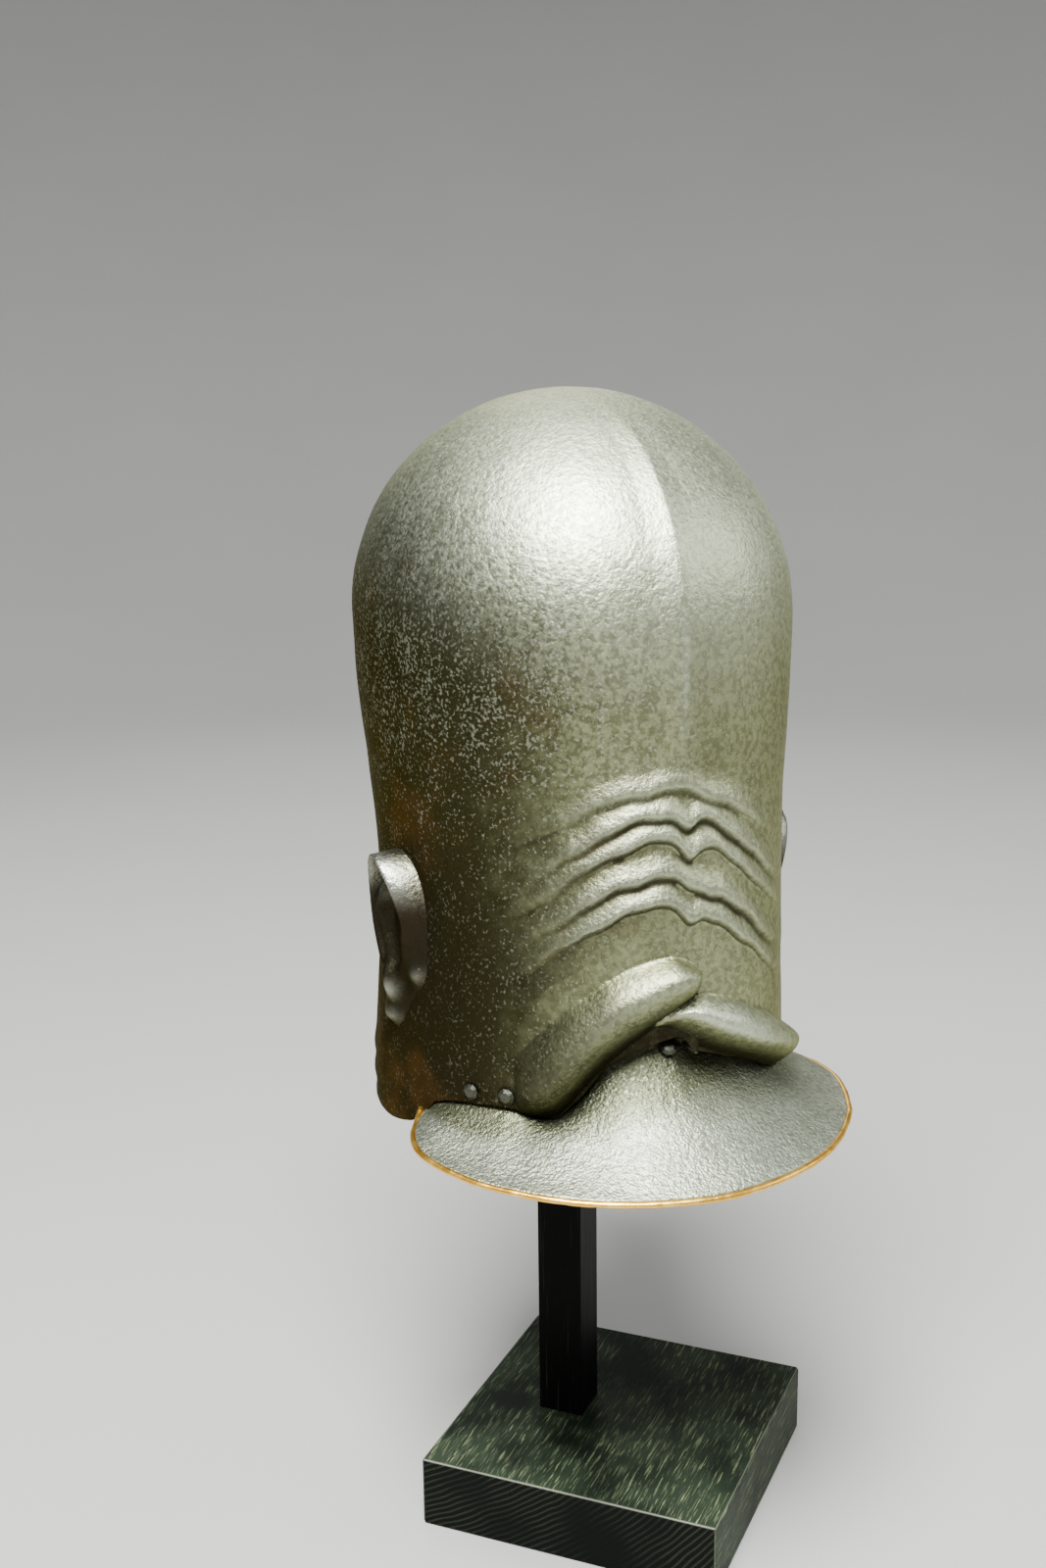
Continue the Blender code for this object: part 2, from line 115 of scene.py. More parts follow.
class Finish:
    """A material whose patterns are built from nodes."""

    def __init__(self, name, roughness, metallic=0.0, **plain):
        self.material = bpy.data.materials.new(name)
        self.material.use_nodes = True
        self.tree = self.material.node_tree
        self.shader = self.tree.nodes["Principled BSDF"]
        for socket, value in {"Roughness": roughness, "Metallic": metallic, **plain}.items():
            self.feed(self.shader, socket, value)

    def feed(self, node, key, value):
        socket = node.inputs[key]
        if isinstance(value, Socket):
            self.tree.links.new(value.socket, socket)
        elif socket.type == "RGBA":
            socket.default_value = (*value, 1) if len(value) == 3 else value
        else:
            socket.default_value = value

    def node(self, kind, settings=None, inputs=None, output=0):
        """Any node: its settings first, then its sockets' values or links."""
        made = self.tree.nodes.new("ShaderNode" + kind)
        for key, value in (settings or {}).items():
            setattr(made, key, value)
        for key, value in (inputs or {}).items():
            self.feed(made, key, value)
        return Socket(self, made.outputs[output])

    def place(self, scale=(1, 1, 1), turn=0.0, origin=(0, 0, 0)):
        """Object coordinates about an origin, turned around Z and then stretched."""
        point = self.node("TexCoord", output="Object")
        point = self.node("Mapping", None, {0: point, 1: [-o for o in origin]})
        point = self.node("Mapping", None, {0: point, 2: (0, 0, -turn)})
        return self.node("Mapping", None, {0: point, 3: scale})

    def noise(self, scale, detail=2.0, rough=0.5, at=None):
        """Cloudy pattern from 0 to 1, scale features to the metre."""
        inputs = {"Scale": scale, "Detail": detail, "Roughness": rough}
        inputs["Vector"] = at or self.place()
        return self.node("TexNoise", None, inputs, "Fac")

    def band(self, value, low, high):
        """Smooth step from 0 at low to 1 at high, or the other way round."""
        inputs = {0: value, 1: low, 2: high}
        return self.node("MapRange", {"interpolation_type": "SMOOTHSTEP"}, inputs)

    def read(self, name):
        """A number kept on each vertex of the mesh."""
        return self.node("Attribute", {"attribute_name": name}, output="Fac")

    def mix(self, share, first, second):
        """Colour between two others."""
        inputs = {0: share, 6: first, 7: second}
        return self.node("Mix", {"data_type": "RGBA"}, inputs, 2)

    def bump(self, *layers):
        """Relief from layers of (height from 0 to 1, depth in metres)."""
        normal = None
        for height, depth in layers:
            inputs = {"Height": height, "Distance": depth, "Strength": 1.0}
            if normal:
                inputs["Normal"] = normal
            normal = self.node("Bump", None, inputs, "Normal")
        self.feed(self.shader, "Normal", normal)

    def colour(self, value):
        self.feed(self.shader, "Base Color", value)


def paint(node, finish):
    """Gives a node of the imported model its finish."""
    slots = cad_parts[node].material_slots
    if not slots:
        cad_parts[node].data.materials.append(finish.material)
    for slot in slots:
        slot.material = finish.material


# The floor: a pale matt sheet that rises into a backdrop far behind the stand.
FLOOR_REACH = 6.0
FLOOR_BEND = 2.2
FLOOR_RISE = 0.28
FLOOR_CELLS = 96
FLOOR_DARK = (0.36, 0.36, 0.35)
FLOOR_PALE = (0.39, 0.39, 0.38)

floor_finish = Finish("pale floor", 0.75)
floor_finish.colour(floor_finish.mix(floor_finish.noise(3.0), FLOOR_DARK, FLOOR_PALE))
away = np.linspace(-FLOOR_REACH, FLOOR_REACH, FLOOR_CELLS + 1)
far, side = np.meshgrid(away, away, indexing="ij")
rise = FLOOR_RISE * np.maximum(np.hypot(far, side) - FLOOR_BEND, 0) ** 2
flat = np.stack([side, far, rise], -1)
grid = np.arange(far.size).reshape(far.shape)
quads = np.stack([grid[:-1, :-1], grid[:-1, 1:], grid[1:, 1:], grid[1:, :-1]], -1).reshape(-1, 4)
floor_mesh = bpy.data.meshes.new("floor")
floor_mesh.from_pydata(flat.reshape(-1, 3).tolist(), [], quads.tolist())
floor_mesh.shade_smooth()
floor_mesh.materials.append(floor_finish.material)
floor = bpy.data.objects.new("floor", floor_mesh)
bpy.context.scene.collection.objects.link(floor)

# The base block: a square of oak, blackened and then limed, so that its open pores run over the top
# and the sides as short pale dashes. The growth rings cross both ends at a slant. Its edges have a
# narrow bevel.
BLOCK_TURN = math.radians(-46)
OAK = (0.005, 0.008, 0.005)
OAK_SHEEN = (0.019, 0.029, 0.017)
LIME = (0.16, 0.19, 0.105)
OAK_END = (0.001, 0.001, 0.001)
OAK_ARC = (0.030, 0.034, 0.022)
# Pale colour of the painted highlight on the arrises.
OAK_ARRIS_HIGHLIGHT = (0.42, 0.44, 0.34)
RING = 0.0031
RING_WOBBLE = 0.016
PORE_SCALE = (1350, 80, 1350)
GRAIN_SCALE = (1900, 90, 1900)
PITH_BESIDE = 0.10
PITH_ABOVE = 0.206
BLOCK_EDGE = 0.0011

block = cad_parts["base_block"]
corners = np.array([block.matrix_world @ v.co for v in block.data.vertices])
across = corners @ (math.cos(BLOCK_TURN), math.sin(BLOCK_TURN), 0)
lengthwise = corners @ (-math.sin(BLOCK_TURN), math.cos(BLOCK_TURN), 0)
pith = (across.min() - PITH_BESIDE, corners[:, 2].max() + PITH_ABOVE)


def ebonised_oak(name, shine):
    """Dark limed wood with its grain along the block's length. The growth rings are circles round a
    pith far up on one side, so that they cross the ends as slanting arcs, and the pores are short
    dashes on the other faces. The arrises that meet at the front corner are painted pale as a
    highlight."""
    oak = Finish(name, shine, **{"Specular IOR Level": 0.05})
    wobble = oak.noise(11.0, 3.0, 0.55, oak.place((1.0, 0.3, 1.0), BLOCK_TURN))
    centre = (pith[0] * math.cos(BLOCK_TURN), pith[0] * math.sin(BLOCK_TURN), pith[1])
    from_pith = oak.place((1, 0, 1), BLOCK_TURN, centre)
    out = oak.node("VectorMath", {"operation": "LENGTH"}, {0: from_pith}, "Value")
    phase = (out + wobble * RING_WOBBLE) * (2 * math.pi / RING)
    ring = oak.node("Math", {"operation": "SINE"}, {0: phase})
    apart = oak.node("SeparateXYZ", None, {0: oak.place((1, 1, 1), BLOCK_TURN)}).socket.node
    x, y, z = (Socket(oak, apart.outputs[i]) for i in range(3))
    end = oak.band(y, lengthwise.min() + 0.0006, lengthwise.min() + 0.0002)
    end = end + oak.band(y, lengthwise.max() - 0.0006, lengthwise.max() - 0.0002)
    pores = oak.noise(1.0, 3.0, 0.6, oak.place(PORE_SCALE, BLOCK_TURN))
    fine = oak.noise(1.0, 2.0, 0.6, oak.place(GRAIN_SCALE, BLOCK_TURN))
    patches = oak.noise(26.0, 2.0, 0.5)
    rows = oak.band(ring, -0.5, 0.7)
    dashes = oak.band(pores, 0.53, 0.62) * (0.30 + rows * 0.70) * oak.band(patches, 0.25, 0.60)
    arcs = oak.band(ring, 0.1, 0.9) * (0.25 + fine * 0.5) * oak.band(patches, 0.30, 0.65)
    arris = [oak.band(z, corners[:, 2].max() - BLOCK_EDGE, corners[:, 2].max() - 0.5 * BLOCK_EDGE)]
    arris += [oak.band(y, lengthwise.min() + BLOCK_EDGE, lengthwise.min() + 0.5 * BLOCK_EDGE)]
    arris += [oak.band(x, across.max() - BLOCK_EDGE, across.max() - 0.5 * BLOCK_EDGE)]
    # Painted highlight along the arrises, strongest where they meet at the front corner.
    painted_highlight = arris[0] * arris[1] + arris[0] * arris[2] * 0.5 + arris[1] * arris[2] * 0.3
    base = oak.mix(oak.band(patches, 0.35, 0.65) * (1.0 - end), OAK, OAK_SHEEN)
    base = oak.mix(dashes * (1.0 - end) * 0.92, base, LIME)
    base = oak.mix(end * 0.7, base, OAK_END)
    base = oak.mix(arcs * end, base, OAK_ARC)
    oak.colour(oak.mix(painted_highlight * (0.10 + patches * 0.6), base, OAK_ARRIS_HIGHLIGHT))
    oak.feed(oak.shader, "Roughness", 0.42 + dashes * 0.25 + fine * 0.10)
    oak.bump((1.0 - dashes, 0.00022), (fine, 0.00008))
    return oak


paint("base_block", ebonised_oak("ebonised oak block", 0.4))

# The post: a square bar of the same blackened wood with hardly any lime left in it, standing on the
# block and turned with it.
POST_BLACK = (0.003, 0.003, 0.003)
POST_WORN = (0.036, 0.038, 0.032)
POST_GRAIN = (900, 900, 18)

post_finish = Finish("black post", 0.34, **{"Specular IOR Level": 0.03})
post_grain = post_finish.noise(1.0, 3.0, 0.6, post_finish.place(POST_GRAIN, BLOCK_TURN))
post_wear = post_finish.band(post_grain, 0.60, 0.78)
post_finish.colour(post_finish.mix(post_wear, POST_BLACK, POST_WORN))
post_finish.feed(post_finish.shader, "Roughness", 0.30 + post_grain * 0.25)
post_finish.bump((post_grain, 0.00012))
paint("post", post_finish)

# The head support: a plain pad under the crown, covered with black felt. Its fibres are a fine
# noise that lifts and lightens the black.
FELT_BLACK = (0.012, 0.012, 0.012)
FELT_GREY = (0.035, 0.034, 0.032)

felt = Finish("black felt", 0.95, **{"Sheen Weight": 0.3})
fibres = felt.noise(1500.0, 4.0, 0.7)
felt.colour(felt.mix(fibres, FELT_BLACK, FELT_GREY))
felt.bump((fibres, 0.0004))
paint("head_support", felt)

# The bowl: a tall bald head hammered out of iron plate, open below. The brow is embossed with five
# drooping wrinkles and two heavy eyebrows, the nape with soft rolls, and a low ridge runs up the
# median. The iron is patinated russet and worn grey on its crests. It has painted shade in its grooves,
# under the brows and low on its sides, and painted highlight on its crests and the front of the crown.
BLOCK_HEIGHT = 0.038
BOWL_LIFT = 0.176
BOWL_WIDTH = 0.209
BOWL_LENGTH = 0.242
SHOULDER_HEIGHT = 0.264
DOME_HEIGHT = 0.106
BOWL_HEIGHT = SHOULDER_HEIGHT + DOME_HEIGHT
WALL = 0.0018
ROOT_RADIUS = 1.081 * BOWL_WIDTH / 2
KEEL_RISE = 0.0026
KEEL_HALF_WIDTH = math.radians(7)
FOLD_RISE = 0.0034
FOLD_SOFT = 0.0062
FOLD_STEP = 0.0056
FOLD_DIP = 0.0005
BROW_RISE = 0.0115
BROW_ROUND_ABOVE = (2.2, 1.2)
BROW_ROUND_BELOW = 1.8
ROOT_FADE = 0.026
ROOT_BEND = 0.7

# Level sections: height as a share of SHOULDER_HEIGHT, half width as a share of BOWL_WIDTH / 2,
# front and back half lengths as shares of BOWL_LENGTH / 2.
SECTIONS = {
    "height": (0.000, 0.091, 0.243, 0.394, 0.545, 0.659, 0.792, 0.905, 1.000),
    "side": (0.947, 0.967, 0.957, 0.938, 0.933, 0.947, 0.976, 0.995, 1.000),
    "front": (1.008, 1.025, 1.045, 1.054, 1.050, 1.025, 1.004, 1.000, 1.000),
    "back": (0.860, 0.868, 0.818, 0.769, 0.769, 0.818, 0.909, 0.975, 1.004),
}

# The lower edge by angle from the front, in shares of BOWL_HEIGHT.
HEM = {
    "angle": (0, 5, 10, 16, 24, 29, 37, 49, 63.5, 66.5, 69.5, 75, 94, 180),
    "right": (0.224, 0.214, 0.203, 0.184, 0.135, 0.112, 0.124, 0.119, 0.101, 0.084, 0.073, 0.056, 0.034, 0),
    "left": (0.211, 0.192, 0.181, 0.168, 0.151, 0.138, 0.122, 0.119, 0.101, 0.084, 0.073, 0.056, 0.034, 0),
}

# The right eyebrow by signed angle, heights in millimetres above the bowl's lowest point: where its
# roll ends above, its crest and the groove below it, and how far it stands out. Its nose is blunt.
RIGHT_BROW = {
    "angle": (-38, -36, -33, -29, -25, -21, -17, -12, -7.5, -4, -1.5, 0.8, 2.0, 2.9),
    "top": (72, 76, 82.5, 91, 99, 106, 112.5, 118.5, 121.5, 122.5, 121, 118, 115, 112),
    "crest": (54, 55, 58.5, 66, 76.5, 87.5, 97.5, 105, 110.5, 113.5, 114, 114, 113.5, 111.5),
    "groove": (43, 43, 43, 44, 50, 60, 68, 77, 84.5, 90, 95, 101, 105, 108),
    "stand": (0.0, 0.45, 0.80, 0.92, 0.96, 0.96, 0.98, 1.0, 1.04, 1.06, 1.0, 0.76, 0.44, 0.0),
}

# The left eyebrow in the same way. It starts under the right one's nose and ends in a blunt corner.
LEFT_BROW = {
    "angle": (-7, -4, -1, 3, 6, 10, 15, 22, 28, 32, 34.5, 37.5),
    "top": (94, 98, 101, 103, 101.5, 98.5, 93.5, 86, 79, 74.5, 71, 64),
    "crest": (90.5, 95.5, 97.5, 94, 90, 85.5, 79.5, 72.5, 67.5, 65, 63, 58),
    "groove": (88, 86.5, 80, 75.5, 72.5, 68.5, 64, 57.5, 51.5, 47.5, 46, 45),
    "stand": (0.0, 0.34, 0.66, 0.92, 1.0, 1.02, 1.04, 1.06, 1.12, 1.15, 1.02, 0.0),
}

# Each eyebrow with its painted light: how much painted highlight its crest gets, how much painted
# shade darkens its underside and how much the rest.
BROWS = ((RIGHT_BROW, 0.32, 0.88, 0.55), (LEFT_BROW, 1.60, 0.78, 0.0))

# The wrinkles from the lowest to the highest: crest height, the step down to the left side and the
# notch on the median as shares of BOWL_HEIGHT, how much of the droop each follows, and the angle
# where each dies out.
FOLDS = {
    "height": (0.403, 0.438, 0.481, 0.511, 0.541),
    "droop": (1.00, 1.00, 1.00, 1.00, 0.70),
    "step": (0.021, 0.021, 0.008, 0.005, 0.008),
    "notch": (0.024, 0.018, 0.022, 0.016, 0.000),
    "reach": (45, 44, 43, 43, 36),
    "strength": (1.0, 1.0, 1.0, 1.0, 0.8),
}
DROOP = {
    "angle": (0, 6, 12, 18, 24, 30, 38, 50, 180),
    "right": (0, 0, 0.008, 0.024, 0.046, 0.070, 0.097, 0.115, 0.115),
    "left": (0, 0.008, 0.032, 0.059, 0.086, 0.105, 0.120, 0.125, 0.115),
}

# The nape's rolls by angle from the front: height in millimetres above the bowl's lowest point.
NAPE = {
    "angle": (70, 83, 95, 106, 130, 180),
    "upper": (62, 57, 49, 42, 36, 34),
    "middle": (46, 41.5, 35, 28.5, 23, 21),
    "lower": (30, 27, 20, 14.5, 10, 8),
}
NAPE_RISE = 0.0011
NAPE_SOFT = 0.0075

# The iron's colours for painted shade in grooves and hollows, in patches of rust, in flecks painted
# as glints and in its sheen, the ring of painted shade round a rivet, the climb of the russet with its
# painted shade and of the painted highlight on the crown toward the ears, and the hammering: its
# depth, its number of waves and their lengths.
PAINTED_SHADE_COLOUR = (0.018, 0.015, 0.008)
RUST = (0.085, 0.043, 0.016)
GLINT_FLECK = (0.46, 0.49, 0.39)
IRON_TINT = (0.50, 0.47, 0.36)
SHADE_RING_RADIUS = 0.0047
SHADE_RING_WIDTH = 0.0008
EAR_CLIMB = 0.036
HAMMERING = 0.00028
WAVES = 26
WAVE_LENGTHS = (0.014, 0.050)


def blend(low, high, x):
    """Smooth step from 0 at low to 1 at high."""
    t = np.clip((x - low) / (high - low), 0, 1)
    return t * t * (3 - 2 * t)


def through(knots, values, x):
    """Smooth curve through a table's rows: cubic pieces that never overshoot, because a row's slope
    is the harmonic mean of those beside it, or none at a peak."""
    knots, values = np.asarray(knots, float), np.asarray(values, float)
    steep = np.diff(values) / np.diff(knots)
    product = steep[1:] * steep[:-1]
    both = np.where(product > 0, steep[1:] + steep[:-1], 1)
    slopes = np.concatenate([steep[:1], 2 * np.maximum(product, 0) / both, steep[-1:]])
    x = np.clip(x, knots[0], knots[-1])
    i = np.clip(np.searchsorted(knots, x, side="right") - 1, 0, len(knots) - 2)
    span = knots[i + 1] - knots[i]
    t = (x - knots[i]) / span
    start = (1 + 2 * t) * (1 - t) ** 2 * values[i] + t * (1 - t) ** 2 * span * slopes[i]
    end = t * t * (3 - 2 * t) * values[i + 1] - t * t * (1 - t) * span * slopes[i + 1]
    return start + end


def by_side(table, angle):
    """Value of a table with a right and a left column, the two joined within a degree or so."""
    degrees = np.degrees(np.abs(angle))
    rights = through(table["angle"], table["right"], degrees)
    lefts = through(table["angle"], table["left"], degrees)
    return rights + (lefts - rights) * blend(-1.5, 1.5, np.degrees(angle))


def plain_radius(angle, height):
    """Distance from the axis to the bowl without its embossing: a half ellipse in front and another
    behind, which a quarter ellipse closes above the shoulder. With half width w and half length d
    at that height it is sqrt(1 - over^2) w d / hypot(d sin(angle), w cos(angle))."""
    share = np.clip(height / SHOULDER_HEIGHT, 0, 1)
    wide = through(SECTIONS["height"], SECTIONS["side"], share) * BOWL_WIDTH / 2
    front = through(SECTIONS["height"], SECTIONS["front"], share) * BOWL_LENGTH / 2
    back = through(SECTIONS["height"], SECTIONS["back"], share) * BOWL_LENGTH / 2
    deep = np.where(np.cos(angle) > 0, front, back)
    over = np.clip((height - SHOULDER_HEIGHT) / DOME_HEIGHT, 0, 1)
    closing = np.sqrt(1 - over**2)
    return closing * wide * deep / np.hypot(deep * np.sin(angle), wide * np.cos(angle))


def hem_height(angle):
    """Height of the bowl's lower edge above the bowl's lowest point."""
    return by_side(HEM, angle) * BOWL_HEIGHT


def hem_radius(angle):
    """Distance from the axis to the lower edge, which stands in to a round root under the brows."""
    return np.minimum(plain_radius(angle, hem_height(angle)), ROOT_RADIUS)


def fold_height(fold, angle):
    """Height of one wrinkle's crest, with a slow hand-made waver."""
    step = FOLDS["step"][fold] * blend(-1, 5, np.degrees(angle))
    notch = FOLDS["notch"][fold] * np.exp(-((np.degrees(angle) / 2.4) ** 2))
    droop = by_side(DROOP, angle) * FOLDS["droop"][fold]
    waver = 0.0018 * np.sin(23 * angle + 2.1 * fold) + 0.0011 * np.sin(47 * angle + 1.3 * fold)
    return (FOLDS["height"][fold] - droop - step - notch + waver) * BOWL_HEIGHT


def roll(height, crest, soft, step):
    """Overlapping roll seen in section, from 0 to 1: it swells softly from above, as
    exp(-(above / soft)^2), and turns in under its crest within one step. The second number is the
    groove that it leaves below."""
    above = height - crest
    soft_side = np.exp(-((np.maximum(above, 0) / soft) ** 2))
    under_side = 1 - blend(0, 1, np.clip(-above / step, 0, 1) ** 0.85)
    groove = np.exp(-(((above + 0.75 * step) / (0.42 * step)) ** 2))
    return soft_side * under_side, groove


def brow(table, angle, height):
    """One eyebrow: how far its surface is from the axis, how far it stands out, how much painted
    highlight each place gets, and how far below the crest. Above the crest it falls away softly to the
    forehead, as (1 - up^a)^b, and below it turns in, more and more, to the groove, as 1 - down^c."""
    degrees = np.degrees(angle)
    lines = [through(table["angle"], table[line], degrees) for line in ("top", "crest", "groove")]
    top, crest, groove = (line / 1000 for line in lines)
    stand = through(table["angle"], table["stand"], degrees) * BROW_RISE
    stand = np.where((degrees > table["angle"][0]) & (degrees < table["angle"][-1]), stand, 0)
    up = np.clip((height - crest) / (top - crest), 0, 1)
    down = np.clip((crest - height) / (crest - groove), 0, 1)
    fullness = (1 - up ** BROW_ROUND_ABOVE[0]) ** BROW_ROUND_ABOVE[1]
    outer = plain_radius(angle, height) + stand * fullness
    inset = under_brow(angle, groove)
    below = inset + (plain_radius(angle, crest) + stand - inset) * (1 - down**BROW_ROUND_BELOW)
    wear_and_highlight = 0.8 * stand / BROW_RISE * np.where(height > crest, fullness, np.maximum(1 - 3 * down, 0))
    return np.where(height > crest, outer, below), stand, wear_and_highlight, down


def under_brow(angle, height):
    """Surface behind the eyebrows: the bowl, drawn in to the root along its lower edge. The share
    that is drawn in falls with the height over the edge as 1 - (height / ROOT_FADE)^ROOT_BEND."""
    low = hem_height(angle)
    share = np.clip((height - low) / ROOT_FADE, 0, 1) ** ROOT_BEND
    front = 1 - blend(34, 40, np.degrees(np.abs(angle)))
    plain = plain_radius(angle, height)
    return plain - front * (plain - hem_radius(angle)) * (1 - share)


def embossed(angle, height):
    """The embossed bowl: its distance from the axis, how much wear and painted highlight each place
    gets on crests, the ridge and the brows, and how much painted shade in grooves and under the brows.
    It is the plain form with wrinkles, ridge and nape rolls, or whichever eyebrow stands out furthest."""
    degrees = np.degrees(np.abs(angle))
    relief, wear_and_highlight, painted_shade = 0 * height, 0 * height, 0 * height
    for fold, reach in enumerate(FOLDS["reach"]):
        strength = (1 - blend(0.25 * reach, 1.05 * reach, degrees)) * FOLDS["strength"][fold]
        body, groove = roll(height, fold_height(fold, angle), FOLD_SOFT, FOLD_STEP)
        relief = relief + strength * (FOLD_RISE * body - FOLD_DIP * groove)
        # Crests lightened as wear and painted highlight, painted shade in the groove under each.
        wear_and_highlight = np.maximum(wear_and_highlight, 0.52 * strength * body * (1 - 0.85 * blend(12, 40, degrees)))
        painted_shade = np.maximum(painted_shade, 0.85 * strength * groove)
    for line in ("upper", "middle", "lower"):
        crest = through(NAPE["angle"], NAPE[line], degrees) / 1000
        body, groove = roll(height, crest, NAPE_SOFT, 1.6 * FOLD_STEP)
        strength = blend(74, 96, degrees)
        relief = relief + strength * NAPE_RISE * (body - 0.2 * groove)
        # Painted shade in the groove under each nape roll.
        painted_shade = np.maximum(painted_shade, 0.6 * strength * groove)
    crease = 1 - np.sqrt((angle / KEEL_HALF_WIDTH) ** 2 + 0.0015)
    share = height / BOWL_HEIGHT
    keel = np.clip(crease, 0, 1) ** 1.3 * blend(0.51, 0.60, share) * (1 - blend(0.90, 1.0, share))
    radius = under_brow(angle, height) + relief + KEEL_RISE * keel
    # Painted highlight along the ridge.
    wear_and_highlight = np.maximum(wear_and_highlight, keel**4 * blend(0.56, 0.72, share))
    for table, crest_highlight, shade, body_shade in BROWS:
        surface, stand, stout, under = brow(table, angle, height)
        here = (stand > 0) & (surface > radius)
        radius = np.where(here, surface, radius)
        # Painted highlight on each brow's crest, painted shade on its underside and over the right brow.
        wear_and_highlight = np.where(here, crest_highlight * stout * (1 - 0.85 * blend(8, 32, degrees)), wear_and_highlight)
        dim = np.maximum(shade * blend(0.18, 0.85, under), body_shade * (0.22 + 0.78 * blend(6, 34, degrees)))
        painted_shade = np.where(here, dim, painted_shade)
    return radius, wear_and_highlight, painted_shade


def point(angle, radius, height):
    """Points from angle, distance from the axis and height above the bowl's lowest point."""
    z = height + BLOCK_HEIGHT + BOWL_LIFT + 0 * radius
    return np.stack([radius * np.sin(angle), -radius * np.cos(angle), z], -1)


def hammered(points, depth, seed):
    """Slow unevenness of hand-hammered plate: a sum of plane waves 14 to 50 mm long, each with its
    own direction, length and phase."""
    draw = np.random.default_rng(seed)
    waves = draw.normal(size=(WAVES, 3))
    waves *= (2 * np.pi / draw.uniform(*WAVE_LENGTHS, WAVES) / np.linalg.norm(waves, axis=1))[:, None]
    phase = draw.uniform(0, 2 * np.pi, WAVES)
    return depth * np.mean(np.sin(points @ waves.T + phase), -1) * 3


def facing(points, wraps):
    """Unit normals of a grid of points, rows upwards and columns to the left."""
    if wraps:
        across = np.roll(points, -1, 1) - np.roll(points, 1, 1)
    else:
        across = np.gradient(points, axis=1)
    normal = np.cross(across, np.gradient(points, axis=0))
    return normal / np.maximum(np.linalg.norm(normal, axis=-1), 1e-12)[..., None]


def tiles(grid, wraps):
    """Quads over a grid of vertex numbers."""
    if wraps:
        grid = np.concatenate([grid, grid[:, :1]], 1)
    corners = [grid[:-1, :-1], grid[:-1, 1:], grid[1:, 1:], grid[1:, :-1]]
    return np.stack(corners, -1).reshape(-1, 4)


def shade_ring_round(node, points):
    """Painted shade round a rivet: 1 on a thin ring at the foot of its head."""
    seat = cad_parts[node]
    centre = np.mean([seat.matrix_world @ v.co for v in seat.data.vertices], axis=0)
    away = np.linalg.norm(points - centre, axis=-1)
    return np.exp(-(((away - SHADE_RING_RADIUS) / SHADE_RING_WIDTH) ** 2))


def make_piece(name, points, faces, finishes, numbers=None, parts=None):
    """Mesh object from points and lists of faces, with numbers kept on its vertices."""
    mesh = bpy.data.meshes.new(name)
    mesh.from_pydata(points.tolist(), [], faces)
    for key, values in (numbers or {}).items():
        kept = mesh.attributes.new(key, "FLOAT", "POINT")
        kept.data.foreach_set("value", np.asarray(values, np.float32))
    for finish in finishes:
        mesh.materials.append(finish.material)
    if parts is not None:
        mesh.polygons.foreach_set("material_index", np.asarray(parts, np.int32))
    mesh.shade_smooth()
    made = bpy.data.objects.new(name, mesh)
    bpy.context.scene.collection.objects.link(made)
    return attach(made, "root")


def patinated_iron(name, dark, grey, worn, shine, glint_flecks, rust, fine=1.0):
    """Russet iron: clouds of dark patina over grey metal, patches of rust, pale flecks painted as
    glints, crests lightened as wear and painted highlight, painted shade in grooves and hollows and a
    fine pitted grain. The mesh says where the wear and highlight, the painted shade, the russet with
    its painted shade and the glints and pits go. worn is the colour of worn and highlighted places."""
    iron = Finish(name, shine, 1.0, **{"Specular Tint": IRON_TINT})
    clouds = iron.noise(16.0, 3.0, 0.6)
    blots = iron.noise(85.0, 3.0, 0.6)
    grain = iron.noise(620.0 * fine, 2.0, 0.6)
    pits = iron.noise(330.0 * fine, 2.0, 0.55)
    glint_noise = iron.noise(620.0, 2.0, 0.55, iron.place((1, 1, 1), 0.0, (0.31, 0.17, 0.05)))
    wear_and_highlight, painted_shade = iron.read("wear_and_highlight"), iron.read("painted_shade")
    russet_and_shade, glints_and_pits = iron.read("russet_and_shade"), iron.read("glints_and_pits")
    # Pale flecks painted as glints, none where painted shade lies.
    glint_fleck = iron.band(glint_noise + glints_and_pits * 0.10 + (blots - 0.5) * 0.24, 0.605, 0.730) * (1.0 - painted_shade)
    # Dark patina in clouds, with more where the mesh holds russet and painted shade.
    stain_and_shade = iron.band(clouds * 0.30 + blots * 0.30 + russet_and_shade * 0.55, 0.28, 0.80)
    base = iron.mix(stain_and_shade, grey, dark)
    dimple = iron.band(pits, 0.58, 0.40)
    base = iron.mix(dimple * (0.24 + glints_and_pits * 0.42), base, dark)
    base = iron.mix(wear_and_highlight * (0.35 + grain * 0.65) * (1.0 - dimple * glints_and_pits * 0.55), base, worn)
    # Painted shade: the colour is mixed toward near black.
    base = iron.mix(iron.band(painted_shade, 0.0, 1.0) * 0.97, base, PAINTED_SHADE_COLOUR)
    base = iron.mix(iron.band(clouds, 0.52, 0.70) * russet_and_shade * rust, base, RUST)
    base = iron.mix(glint_fleck * glint_flecks, base, GLINT_FLECK)
    iron.colour(base)
    rough = shine + (grain - 0.5) * 0.30 + (blots - 0.5) * 0.12 + painted_shade * 0.15
    iron.feed(iron.shader, "Roughness", rough)
    iron.bump((pits, 0.00042 * fine**1.4), (grain, 0.00030 * fine**1.4))
    return iron


# The bowl's grid: its columns stand close together in front, its rows follow the lower edge and the
# wrinkles, and the lining takes every second row at the brows and every sixth above them. The lining
# is lacquered brown.
LINING_FINE = 62
LACQUER_DARK = (0.020, 0.012, 0.008)
LACQUER_BROWN = (0.045, 0.030, 0.022)

